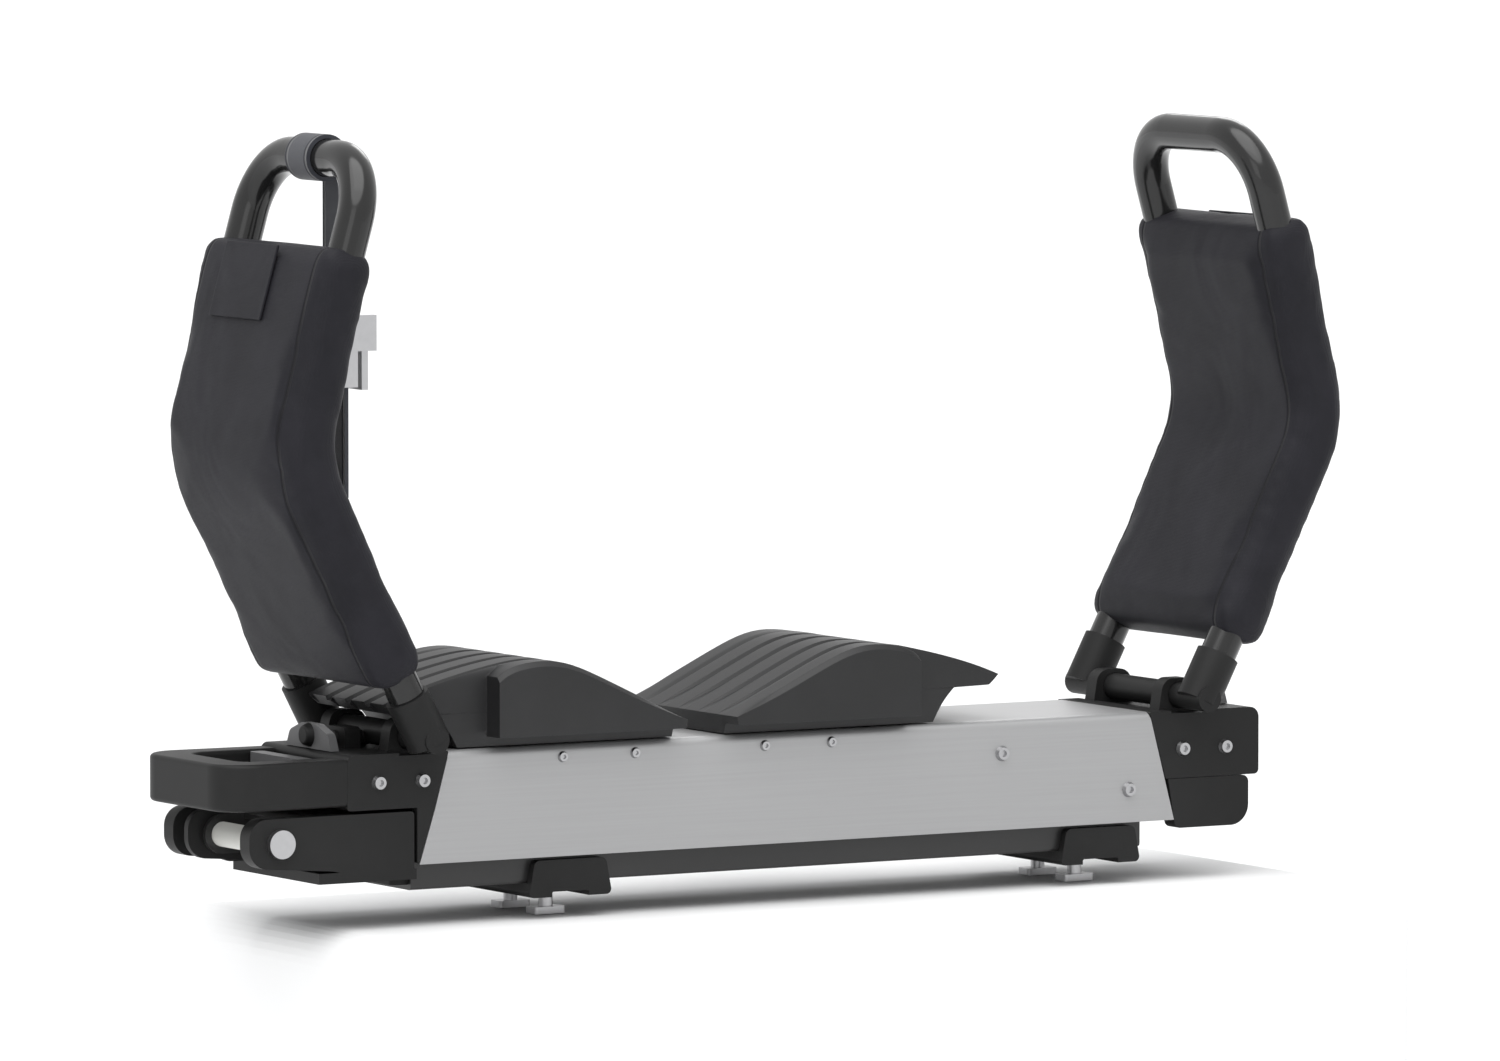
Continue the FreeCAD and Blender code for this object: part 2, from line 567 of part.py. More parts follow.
for block, foot_x in ((near_block, upright_foot_x), (far_block, far_foot_x)):
    for low, high in ((-ear_outer, -ear_inner), (ear_inner, ear_outer)):
        add(block, "XZ_Plane", [(foot_x - 15, housing_high - 5), (foot_x + 13, housing_high - 5),
            (foot_x + 11, upright_foot_z + 10, 8), (foot_x - 11, upright_foot_z + 10, 8)], low, high)
        cut(block, "XZ_Plane", None, low - 1, high + 1, holes=[(foot_x, upright_foot_z, hinge_bore)])
    relief = upright_foot_z - foot_tube_radius - 2
    cut(block, "XZ_Plane", box(foot_x - 12, foot_x + 12, relief, housing_high + 1),
        -unit_half_width - 1, -ear_outer)
    cut(block, "XZ_Plane", box(foot_x - 12, foot_x + 12, relief, housing_high + 1),
        ear_outer, unit_half_width + 1)
    cut(block, "XZ_Plane", box(foot_x - 12, foot_x + 12, relief, housing_high + 1),
        -ear_inner, ear_inner)

# Grip: a loop outside the near end block, with the release lever inside it
grip = new_body("grip")
add(grip, "XY_Plane", [(near_block_end - gap / 3, -unit_half_width), (grip_end, -grip_half_width, 22),
    (grip_end, grip_half_width, 22), (near_block_end - gap / 3, unit_half_width)], grip_low, grip_high)
gap_half = grip_half_width - grip_side - 3
cut(grip, "XY_Plane", [(near_block_end + 1, -gap_half), (grip_end + grip_bar, -gap_half, 9),
    (grip_end + grip_bar, gap_half, 9), (near_block_end + 1, gap_half)], grip_low - 1, grip_high + 1)
doc.recompute()
grip_edges = [f"Edge{number}" for number, edge in enumerate(grip.Shape.Edges, 1)
              if edge.BoundBox.ZLength < 0.01 and edge.BoundBox.XMax < near_block_end.number - 1]
loop = grip.Tip
grip_round = grip.newObject("PartDesign::Fillet", "grip_edges")
grip_round.Base = (loop, grip_edges)
grip_round.Radius = 2.5

lever = new_body("release_lever")
lever_x = near_block_end - 9
add(lever, "XY_Plane", rounded_box(lever_x - lever_thickness, lever_x, gap - gap_half + 1,
    gap_half - gap - 1, 3), grip_low + 2, grip_high - 1)
rod_z = (grip_low + grip_high) / 2
rod_y = 20
add(lever, "YZ_Plane", None, lever_x - 2, near_block_end + 18,
    holes=[(side * rod_y, rod_z, 3) for side in (-1, 1)])
cut(near_block, "YZ_Plane", None, near_block_end - 1, near_block_end + 20,
    holes=[(side * rod_y, rod_z, 3 + gap) for side in (-1, 1)])
for row, side in enumerate((-1, 1), 1):
    spring = new_body(f"lever_spring_{row}")
    add(spring, "YZ_Plane", None, lever_x + gap, near_block_end - gap,
        holes=[(side * rod_y, rod_z, 5.5), (side * rod_y, rod_z, 3 + gap)])


def lean(degrees):
    """Unit vector of a leg that leans outward from the vertical, in the XZ plane."""
    angle = math.radians(degrees)
    return vector(-math.sin(angle), 0, math.cos(angle))


def mirrored(shape):
    """The same shape on the other side of the plane between the uprights."""
    return shape.mirror(vector(mirror_x.number, 0, 0), vector(1, 0, 0))


hinge = vector(upright_foot_x.number, 0, upright_foot_z.number)
lower = lean(lower_lean.number)
upper_way = lean(-upper_lean.number)
bend = hinge + lower * lower_leg.number
top = bend + upper_way * upper_leg.number


def rounded_path(points, radii):
    """A wire through the points with tangent arcs at its inner points."""
    edges = []
    start = points[0]
    for i in range(1, len(points) - 1):
        into = (points[i] - points[i - 1]).normalize()
        out = (points[i + 1] - points[i]).normalize()
        turn = into.getAngle(out)
        reach = radii[i - 1] * math.tan(turn / 2)
        first, last = points[i] - into * reach, points[i] + out * reach
        inward = (out - into).normalize()
        middle = points[i] + inward * (radii[i - 1] / math.cos(turn / 2) - radii[i - 1])
        edges.append(Part.LineSegment(start, first).toShape())
        edges.append(Part.Arc(first, middle, last).toShape())
        start = last
    edges.append(Part.LineSegment(start, points[-1]).toShape())
    return Part.Wire(edges)


def tube_along(wire, radius):
    """A round bar that follows the wire."""
    start = wire.Edges[0]
    way = start.tangentAt(start.FirstParameter)
    ring = Part.Wire([Part.makeCircle(radius, start.valueAt(start.FirstParameter), way)])
    pipe = Part.BRepOffsetAPI.MakePipeShell(wire)
    pipe.add(ring)
    pipe.build()
    pipe.makeSolid()
    return pipe.shape()


def hoop_wire():
    """Centre line of the hoop: up one leg, across the top and down the other."""
    side = vector(0, leg_half_spacing.number, 0)
    foot = hinge + lower * (foot_tube_radius.number + 6)
    return rounded_path([foot - side, bend - side, top - side, top + side, bend + side, foot + side],
                        [60, 34, 34, 60])


def strip(start_reach, end_reach, near_side, far_side, bend_rounding):
    """Outline of a bent strip along the upright, between two offsets from its centre line."""
    across_low = vector(lower.z, 0, -lower.x)
    across_up = vector(upper_way.z, 0, -upper_way.x)
    mitre = (across_low + across_up).normalize()
    stretch = 1 / mitre.dot(across_low)
    start = hinge + lower * start_reach
    end = bend + upper_way * end_reach
    loop = [start + across_low * near_side, bend + mitre * (near_side * stretch),
            end + across_up * near_side, end + across_up * far_side,
            bend + mitre * (far_side * stretch), start + across_low * far_side]
    face = Part.Face(Part.makePolygon(loop + [loop[0]]))
    solid = face.extrude(vector(0, 2 * cover_half_width.number, 0))
    solid.translate(vector(0, -cover_half_width.number, 0))
    along_y = [edge for edge in solid.Edges if edge.BoundBox.YLength > 2 * cover_half_width.number - 0.1]
    at_bend = [edge for edge in along_y if abs(edge.BoundBox.ZMin - bend.z) < 12]
    return solid.makeFillet(bend_rounding, at_bend)


def feature(label, shape):
    """A sub-part whose shape follows a path in space."""
    item = doc.addObject("Part::Feature", label)
    item.Label = label
    item.Shape = shape
    item.Placement = FreeCAD.Placement()
    subparts.append(item)
    return item


# Uprights: a hooped tube in a foot casting, with a padded cover round its legs
half_cover = cover_thickness.number / 2
cover_solid = strip(cover_start.number, cover_end.number, -half_cover, half_cover, 40)
ends = [edge for edge in cover_solid.Edges if edge.BoundBox.YLength > 2 * cover_half_width.number - 5]
sharp = [edge for edge in ends if min((edge.CenterOfMass - (hinge + lower * cover_start.number)).Length,
         (edge.CenterOfMass - (bend + upper_way * cover_end.number)).Length) < half_cover + 2]
cover_solid = cover_solid.makeFillet(9, sharp)
hoop_line = hoop_wire()
hoop_solid = tube_along(hoop_line, hoop_radius.number)
cover_solid = cover_solid.cut(tube_along(hoop_line, hoop_radius.number + gap.number))
side_shift = vector(0, leg_half_spacing.number, 0)
tube_half = leg_half_spacing.number + hoop_radius.number + 1.5
foot_solid = Part.makeCylinder(foot_tube_radius.number, 2 * tube_half, hinge - vector(0, tube_half, 0),
                               vector(0, 1, 0))
for sign in (-1, 1):
    socket = Part.makeCylinder(hoop_radius.number + socket_wall.number, cover_start.number - 3.5,
                               hinge + side_shift * sign - lower * 2, lower)
    foot_solid = foot_solid.fuse(socket)
foot_solid = foot_solid.cut(tube_along(hoop_line, hoop_radius.number)).removeSplitter()
for name, place in (("near", lambda shape: shape), ("far", mirrored)):
    feature(f"{name}_hoop", place(hoop_solid))
    feature(f"{name}_padded_cover", place(cover_solid))
    feature(f"{name}_upright_foot", place(foot_solid))

# Index tabs: half-round pull tabs outside the hinges, each with its plunger rod
for name, foot_x, way in (("near", upright_foot_x, -1), ("far", far_foot_x, 1)):
    tab_x = foot_x + way * tab_reach
    low, high = (tab_x, tab_x + tab_thickness) if way < 0 else (tab_x - tab_thickness, tab_x)
    seat = housing_high + gap
    tab = new_body(f"{name}_index_tab")
    add(tab, "YZ_Plane", [(-tab_radius, seat), (tab_radius, seat), (tab_radius - 4, seat + 9, 6),
        (8, seat + 14, 8), (-8, seat + 14, 8), (4 - tab_radius, seat + 9, 6)], low, high)
    plunger = new_body(f"{name}_index_plunger")
    rod_low, rod_high = (low + tab_thickness, foot_x - foot_tube_radius - 1) if way < 0 else \
        (foot_x + foot_tube_radius + 1, high - tab_thickness)
    add(plunger, "YZ_Plane", None, rod_low, rod_high, holes=[(0, seat + 5, 4)])
    guide_low = foot_x - 25 if way < 0 else foot_x + 15
    block = near_block if way < 0 else far_block
    add(block, "YZ_Plane", rounded_box(-11, 11, housing_high - 6, seat + 11.5, 3),
        guide_low, guide_low + 10)
    cut(block, "YZ_Plane", None, guide_low - 1, guide_low + 11, holes=[(0, seat + 5, 4 + gap)])


saddle_points = (upright_foot_x + 168, upright_foot_x + 125, upright_foot_x + 80)


def saddle_outline(flip):
    """Side outline of a saddle pad; flip mirrors it for the inner one."""
    seat = housing_high + gap
    tip_low = upright_foot_z + 11.5
    heel_x, slope_x, crest_x = saddle_points
    shape = [(upright_foot_x + 25, seat), (heel_x, seat), (heel_x, housing_high + 13, 4),
             (slope_x, housing_high + 33, 60), (crest_x, saddle_crest, 45),
             (upright_foot_x + 20, saddle_crest - 9, 40), (upright_foot_x - 21, saddle_crest - 24, 3),
             (upright_foot_x - 13, tip_low, 4), (upright_foot_x + 22, tip_low, 6)]
    if not flip:
        return shape
    turned = [(2 * saddle_mirror - corner[0], *corner[1:]) for corner in shape]
    return turned[::-1]


# Saddle pads: ribbed rubber blocks screwed to the housing's top
for name, flip in (("near", False), ("far", True)):
    saddle = new_body(f"{name}_saddle")
    add(saddle, "XZ_Plane", saddle_outline(flip), -saddle_tip_half_width, saddle_tip_half_width)
    heel_x, slope_x, crest_x = saddle_points
    wing_x = upright_foot_x + 43
    wing = [(wing_x, housing_high + 10), (heel_x, housing_high + 6), (heel_x, housing_high + 13, 4),
            (slope_x, housing_high + 33, 60), (crest_x, saddle_crest, 40), (wing_x, saddle_crest - 5)]
    if flip:
        wing = [(2 * saddle_mirror - corner[0], *corner[1:]) for corner in wing][::-1]
    add(saddle, "XZ_Plane", wing, -saddle_half_width, saddle_half_width)
    groove_x, above = upright_foot_x + 5, saddle_crest + 23
    groove = [(groove_x, above), (groove_x, saddle_crest - rib_depth - 13),
              (groove_x + 24, saddle_crest - rib_depth - 6, 30), (crest_x, saddle_crest - rib_depth, 45),
              (slope_x, housing_high + 33 - rib_depth, 60), (heel_x + 7, housing_high + 8 - rib_depth),
              (heel_x + 7, above)]
    if flip:
        groove = [(2 * saddle_mirror - corner[0], *corner[1:]) for corner in groove][::-1]
    for station in (-2, -1, 0, 1, 2):
        middle = station * rib_pitch
        cut(saddle, "XZ_Plane", groove, middle - rib_width / 2, middle + rib_width / 2)

# Load strap: webbing looped over the near hoop's top bar, with a cam buckle
strap_inner = hoop_radius.number + gap.number
strap_outer = strap_inner + strap_thickness.number
half_web = strap_width.number / 2
loop_start = top - vector(0, half_web, 0)
ring = Part.makeCylinder(strap_outer, 2 * half_web, loop_start, vector(0, 1, 0)).cut(
    Part.makeCylinder(strap_inner, 2 * half_web, loop_start, vector(0, 1, 0)))
tail = Part.makeBox(strap_thickness.number, 2 * half_web, strap_drop.number,
                    vector(top.x + strap_inner, -half_web, top.z - strap_drop.number))
feature("load_strap", ring.fuse(tail).removeSplitter())
buckle_low = top.z - 128
buckle_wall = 3
web_gap = gap.number
body_low = vector(top.x + strap_inner - web_gap - buckle_wall, -half_web - 5, buckle_low)
buckle = Part.makeBox(strap_thickness.number + 2 * web_gap + 2 * buckle_wall, 2 * half_web + 10, 44, body_low)
buckle = buckle.cut(Part.makeBox(strap_thickness.number + 2 * web_gap, 2 * (half_web + web_gap), 46,
    vector(top.x + strap_inner - web_gap, -half_web - web_gap, buckle_low - 1)))
ear_x = body_low.x + strap_thickness.number + 2 * web_gap + 2 * buckle_wall
for y in (-half_web - 5, half_web + 1):
    buckle = buckle.fuse(Part.makeBox(12, 4, 20, vector(ear_x, y, buckle_low + 20)))
pin_at = vector(ear_x + 6, -half_web - 5, buckle_low + 32)
buckle_pin = Part.makeCylinder(2.5, 2 * half_web + 10, pin_at, vector(0, 1, 0))
buckle = buckle.cut(buckle_pin).removeSplitter()
feature("cam_buckle", buckle)
feature("cam_pin", buckle_pin)
lever_half = half_web + 1 - 2 * web_gap
cam = Part.makeCylinder(5.2, 2 * lever_half, vector(pin_at.x, -lever_half, pin_at.z), vector(0, 1, 0))
cam = cam.fuse(Part.makeBox(4, 2 * lever_half, 34, vector(pin_at.x - 1, -lever_half, pin_at.z - 34)))
cam = cam.cut(Part.makeCylinder(2.5 + 0.2, 2 * lever_half, vector(pin_at.x, -lever_half, pin_at.z),
                                vector(0, 1, 0))).removeSplitter()
feature("cam_lever", cam)

doc.recompute()
for item in doc.Objects:
    for word in ("Invalid", "Error"):
        if word in item.State:
            raise RuntimeError(f"{item.Label} is {item.State}")
for item in subparts:
    if item.Shape.isNull() or not item.Shape.isValid() or not item.Shape.Solids:
        raise RuntimeError(f"{item.Label} has no valid solid")

os.makedirs("parts", exist_ok=True)
for item in subparts:
    item.Shape.exportStep(f"parts/{item.Label}.step")
    print(item.Label, len(item.Shape.Solids), round(item.Shape.Volume))
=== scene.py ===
import math

import bmesh
import bpy
from mathutils import Matrix, Vector


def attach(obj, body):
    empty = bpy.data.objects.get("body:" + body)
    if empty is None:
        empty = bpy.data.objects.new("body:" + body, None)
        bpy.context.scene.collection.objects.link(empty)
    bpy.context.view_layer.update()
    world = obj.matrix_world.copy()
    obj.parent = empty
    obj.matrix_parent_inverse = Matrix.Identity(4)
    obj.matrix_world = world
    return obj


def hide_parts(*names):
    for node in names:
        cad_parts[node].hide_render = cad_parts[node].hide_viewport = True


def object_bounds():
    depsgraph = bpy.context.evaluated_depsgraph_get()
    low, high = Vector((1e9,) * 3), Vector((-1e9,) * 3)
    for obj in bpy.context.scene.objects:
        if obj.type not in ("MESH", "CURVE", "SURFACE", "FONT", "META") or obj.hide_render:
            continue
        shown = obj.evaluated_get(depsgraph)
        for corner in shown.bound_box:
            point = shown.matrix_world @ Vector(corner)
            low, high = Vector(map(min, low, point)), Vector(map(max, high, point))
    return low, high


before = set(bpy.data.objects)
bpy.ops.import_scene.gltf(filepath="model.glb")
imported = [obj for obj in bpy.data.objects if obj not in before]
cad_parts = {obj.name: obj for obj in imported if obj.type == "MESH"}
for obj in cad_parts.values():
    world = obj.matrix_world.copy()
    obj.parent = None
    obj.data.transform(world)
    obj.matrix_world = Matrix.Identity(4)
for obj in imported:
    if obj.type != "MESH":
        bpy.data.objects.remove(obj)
cad_box = [list(corner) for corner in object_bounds()]

# Camera, floor and light
# The camera stands where the photographer stood, with a lens long enough for this one carrier to
# fill the frame. A pale block lifts the carrier so far that its cradle can swing down beside it.
camera_place = Vector((-3.860, -6.257, 0.688))
view_line = Vector((0.5105, 0.8566, -0.0758))
aim = Vector((-0.030, 0.0, 0.197))
camera_data = bpy.data.cameras.new("photo_camera")
camera_data.lens = 310
camera_data.sensor_width = 36
camera_data.clip_end = 60
camera = bpy.data.objects.new("photo_camera", camera_data)
bpy.context.collection.objects.link(camera)
camera.location = aim - view_line.normalized() * (aim - camera_place).length
camera.rotation_euler = view_line.to_track_quat("-Z", "Y").to_euler()
bpy.context.scene.camera = camera
bpy.context.scene.view_settings.view_transform = "Standard"


def area_lamp(name, place, target, size, power):
    """Adds a soft square lamp that faces the target."""
    data = bpy.data.lights.new(name, "AREA")
    data.size = size
    data.energy = power
    lamp = bpy.data.objects.new(name, data)
    lamp.location = place
    lamp.rotation_euler = (Vector(target) - Vector(place)).to_track_quat("-Z", "Y").to_euler()
    bpy.context.collection.objects.link(lamp)


area_lamp("overhead_soft", (-0.4, -0.6, 2.6), (0, 0, 0.1), 2.0, 9)
area_lamp("front_fill", (-2.6, -2.4, 1.3), (0, 0, 0.15), 1.6, 8)
area_lamp("rim_strip", (1.6, 1.8, 1.6), (0, 0, 0.2), 0.9, 6)
even_data = bpy.data.lights.new("even_light", "SUN")
even_data.energy = 2.5
even_data.angle = math.radians(70)
even_light = bpy.data.objects.new("even_light", even_data)
even_light.rotation_euler = (math.radians(18), math.radians(-14), 0)
bpy.context.collection.objects.link(even_light)


def stage_material(name, shade):
    """Plain pale studio surface that also shows plainly in reflections."""
    material = bpy.data.materials.new(name)
    material.use_nodes = True
    shader = material.node_tree.nodes["Principled BSDF"]
    shader.inputs["Base Color"].default_value = (shade, shade, shade, 1)
    shader.inputs["Roughness"].default_value = 0.9
    return material


world = bpy.data.worlds.new("studio_world")
world.use_nodes = True
world_tree = world.node_tree
soft_sky = world_tree.nodes["Background"]
soft_sky.inputs["Color"].default_value = (0.93, 0.94, 0.95, 1)
soft_sky.inputs["Strength"].default_value = 0.62
white_wall = world_tree.nodes.new("ShaderNodeBackground")
white_wall.inputs["Color"].default_value = (0.97, 0.97, 0.97, 1)
white_wall.inputs["Strength"].default_value = 1.0
seen = world_tree.nodes.new("ShaderNodeLightPath")
choose = world_tree.nodes.new("ShaderNodeMixShader")
plain = seen.outputs["Is Camera Ray"]
for ray in ("Is Glossy Ray", "Is Transmission Ray"):
    either = world_tree.nodes.new("ShaderNodeMath")
    either.operation = "MAXIMUM"
    world_tree.links.new(plain, either.inputs[0])
    world_tree.links.new(seen.outputs[ray], either.inputs[1])
    plain = either.outputs["Value"]
world_tree.links.new(plain, choose.inputs["Fac"])
world_tree.links.new(soft_sky.outputs["Background"], choose.inputs[1])
world_tree.links.new(white_wall.outputs["Background"], choose.inputs[2])
world_tree.links.new(choose.outputs["Shader"], world_tree.nodes["World Output"].inputs["Surface"])
bpy.context.scene.world = world
studio_paper = stage_material("studio_paper", 0.9)
stand_top, stand_height = cad_box[0][2] - 0.0005, 0.36
stand_length, stand_depth = 0.66, 0.30


def stage_piece(name, form):
    """Adds one paper-covered part of the studio."""
    mesh = bpy.data.meshes.new(name)
    form.to_mesh(mesh)
    form.free()
    mesh.materials.append(studio_paper)
    surface = bpy.data.objects.new(name, mesh)
    bpy.context.collection.objects.link(surface)


floor_form = bmesh.new()
bmesh.ops.create_grid(floor_form, x_segments=1, y_segments=1, size=60)
bmesh.ops.translate(floor_form, verts=floor_form.verts, vec=(0, 0, stand_top - stand_height))
stage_piece("studio_floor", floor_form)
stand_form = bmesh.new()
bmesh.ops.create_cube(stand_form, size=1)
bmesh.ops.scale(stand_form, verts=stand_form.verts, vec=(stand_length, stand_depth, stand_height))
bmesh.ops.translate(stand_form, verts=stand_form.verts, vec=(0, 0, stand_top - stand_height / 2))
bmesh.ops.bevel(stand_form, geom=stand_form.edges[:], offset=0.02, segments=8, profile=0.5,
                affect="EDGES", material=-1)
stage_piece("studio_stand", stand_form)

# Moulded black parts: castings, end blocks, grip and clamp feet
# Glass-filled nylon mouldings with a fine spark-eroded grain, slightly lighter in broad rubbed
# patches spread at random. The grain group serves every moulded finish.


def new_socket(group, name, kind, flow, value=None):
    """Adds one named input or output to a node group."""
    socket = group.interface.new_socket(name=name, in_out=flow, socket_type=kind)
    if value is not None:
        socket.default_value = value


def group_start(name, sockets):
    """Starts a node group with the given inputs, and colour, roughness and normal outputs."""
    group = bpy.data.node_groups.new(name, "ShaderNodeTree")
    for socket_name, kind, value in sockets:
        new_socket(group, socket_name, kind, "INPUT", value)
    new_socket(group, "Color", "NodeSocketColor", "OUTPUT")
    new_socket(group, "Roughness", "NodeSocketFloat", "OUTPUT")
    new_socket(group, "Normal", "NodeSocketVector", "OUTPUT")
    entry = group.nodes.new("NodeGroupInput")
    leave = group.nodes.new("NodeGroupOutput")
    return group, entry, leave


def node(tree, kind, **values):
    """Adds a node and sets its properties or unlinked inputs by name."""
    item = tree.nodes.new(kind)
    for key, value in values.items():
        if hasattr(item, key):
            setattr(item, key, value)
        else:
            item.inputs[key.replace("_", " ")].default_value = value
    return item


grain, grain_in, grain_out = group_start("moulded_grain", [
    ("Color", "NodeSocketColor", (0.03, 0.03, 0.03, 1)),
    ("Rubbed Color", "NodeSocketColor", (0.06, 0.06, 0.06, 1)),
    ("Roughness", "NodeSocketFloat", 0.5),
    ("Grain Size", "NodeSocketFloat", 1400.0),
    ("Grain Depth", "NodeSocketFloat", 0.12)])
place = node(grain, "ShaderNodeTexCoord")
fine = node(grain, "ShaderNodeTexNoise", Detail=3.0, Roughness=0.6)
broad = node(grain, "ShaderNodeTexNoise", Scale=14.0, Detail=4.0, Roughness=0.55)
links = grain.links
links.new(place.outputs["Object"], fine.inputs["Vector"])
links.new(place.outputs["Object"], broad.inputs["Vector"])
links.new(grain_in.outputs["Grain Size"], fine.inputs["Scale"])
rub = node(grain, "ShaderNodeMapRange", From_Min=0.42, From_Max=0.78)
links.new(broad.outputs["Fac"], rub.inputs["Value"])
blend = node(grain, "ShaderNodeMix", data_type="RGBA")
links.new(rub.outputs["Result"], blend.inputs["Factor"])
links.new(grain_in.outputs["Color"], blend.inputs[6])
links.new(grain_in.outputs["Rubbed Color"], blend.inputs[7])
links.new(blend.outputs[2], grain_out.inputs["Color"])
shift = node(grain, "ShaderNodeMapRange", To_Min=-0.07, To_Max=0.07)
links.new(broad.outputs["Fac"], shift.inputs["Value"])
total = node(grain, "ShaderNodeMath", operation="ADD")
links.new(grain_in.outputs["Roughness"], total.inputs[0])
links.new(shift.outputs["Result"], total.inputs[1])
links.new(total.outputs["Value"], grain_out.inputs["Roughness"])
bump = node(grain, "ShaderNodeBump", Distance=0.0004)
links.new(fine.outputs["Fac"], bump.inputs["Height"])
links.new(grain_in.outputs["Grain Depth"], bump.inputs["Strength"])
links.new(bump.outputs["Normal"], grain_out.inputs["Normal"])


def finish_material(name, group, values, metallic=0.0, **sockets):
    """A Principled material that reads colour, roughness and normal from a finish group."""
    material = bpy.data.materials.new(name)
    material.use_nodes = True
    tree = material.node_tree
    shader = tree.nodes["Principled BSDF"]
    shader.inputs["Metallic"].default_value = metallic
    for key, value in sockets.items():
        shader.inputs[key.replace("_", " ")].default_value = value
    finish = tree.nodes.new("ShaderNodeGroup")
    finish.node_tree = group
    for key, value in values.items():
        finish.inputs[key].default_value = value
    tree.links.new(finish.outputs["Color"], shader.inputs["Base Color"])
    tree.links.new(finish.outputs["Roughness"], shader.inputs["Roughness"])
    tree.links.new(finish.outputs["Normal"], shader.inputs["Normal"])
    return material


def grey(value, tint=0.0):
    """A grey with a slight cool tint."""
    return (value, value, value * (1 + tint), 1)


def dress(material, *names):
    """Gives a CAD node's material slots one finish."""
    for name in names:
        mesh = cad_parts[name].data
        for index in range(len(mesh.materials)):
            mesh.materials[index] = material
        if not mesh.materials:
            mesh.materials.append(material)


black_nylon = finish_material("black_nylon", grain, {
    "Color": grey(0.011), "Rubbed Color": grey(0.017), "Roughness": 0.5,
    "Grain Size": 1500.0, "Grain Depth": 0.14}, Specular_IOR_Level=0.2)
dress(black_nylon, "near_clamp_foot", "far_clamp_foot", "base_pivot_casting", "near_end_block",
      "far_end_block", "cradle_pivot_casting", "grip", "near_upright_foot", "far_upright_foot")

# Black powder-coated steel: rail, swing arm, link and plungers
# Pressed steel under a semi-gloss powder coat with a faint orange-peel surface.
powder_coat = finish_material("powder_coat", grain, {
    "Color": grey(0.014), "Rubbed Color": grey(0.019), "Roughness": 0.34,
    "Grain Size": 420.0, "Grain Depth": 0.05})
dress(powder_coat, "base_rail", "swing_arm", "levelling_link", "gas_strut_cylinder",
      "near_index_plunger", "far_index_plunger")

# Plastic controls and bushes: the release lever, both index tabs and the arm's bushes
# Grey mouldings mark what a hand works. The bushes are of a pale plastic.
grey_control = finish_material("grey_control", grain, {
    "Color": grey(0.10, 0.02), "Rubbed Color": grey(0.14, 0.02), "Roughness": 0.44,
    "Grain Size": 1200.0, "Grain Depth": 0.12})
dress(grey_control, "release_lever", "near_index_tab", "far_index_tab")
pale_bush = finish_material("pale_bush", grain, {
    "Color": grey(0.52, -0.06), "Rubbed Color": grey(0.58, -0.06), "Roughness": 0.5,
    "Grain Size": 900.0, "Grain Depth": 0.05})
dress(pale_bush, "base_arm_bush", "cradle_arm_bush")

# Housing and bright metals
# Extruded aluminium with a satin silver anodised skin and fine draw lines along its length. The
# same finish, with other values, serves the zinc-plated fixings and the strut's chromed rod.
drawn, drawn_in, drawn_out = group_start("drawn_metal", [
    ("Color", "NodeSocketColor", (0.5, 0.5, 0.5, 1)),
    ("Roughness", "NodeSocketFloat", 0.4),
    ("Line Stretch", "NodeSocketVector", (12.0, 900.0, 900.0)),
    ("Line Depth", "NodeSocketFloat", 0.05)])
place = node(drawn, "ShaderNodeTexCoord")
stretch = node(drawn, "ShaderNodeMapping")
lines = node(drawn, "ShaderNodeTexNoise", Scale=1.0, Detail=3.0)
cloud = node(drawn, "ShaderNodeTexNoise", Scale=7.0, Detail=3.0)
links = drawn.links
links.new(place.outputs["Object"], stretch.inputs["Vector"])
links.new(drawn_in.outputs["Line Stretch"], stretch.inputs["Scale"])
links.new(stretch.outputs["Vector"], lines.inputs["Vector"])
links.new(place.outputs["Object"], cloud.inputs["Vector"])
tone = node(drawn, "ShaderNodeMapRange", To_Min=0.93, To_Max=1.05)
links.new(lines.outputs["Fac"], tone.inputs["Value"])
shade = node(drawn, "ShaderNodeMix", data_type="RGBA", blend_type="MULTIPLY")
shade.inputs["Factor"].default_value = 1.0
links.new(drawn_in.outputs["Color"], shade.inputs[6])
links.new(tone.outputs["Result"], shade.inputs[7])
links.new(shade.outputs[2], drawn_out.inputs["Color"])
haze = node(drawn, "ShaderNodeMapRange", To_Min=-0.05, To_Max=0.06)
links.new(cloud.outputs["Fac"], haze.inputs["Value"])
total = node(drawn, "ShaderNodeMath", operation="ADD")
links.new(drawn_in.outputs["Roughness"], total.inputs[0])
links.new(haze.outputs["Result"], total.inputs[1])
links.new(total.outputs["Value"], drawn_out.inputs["Roughness"])
bump = node(drawn, "ShaderNodeBump", Distance=0.0002)
links.new(lines.outputs["Fac"], bump.inputs["Height"])
links.new(drawn_in.outputs["Line Depth"], bump.inputs["Strength"])
links.new(bump.outputs["Normal"], drawn_out.inputs["Normal"])

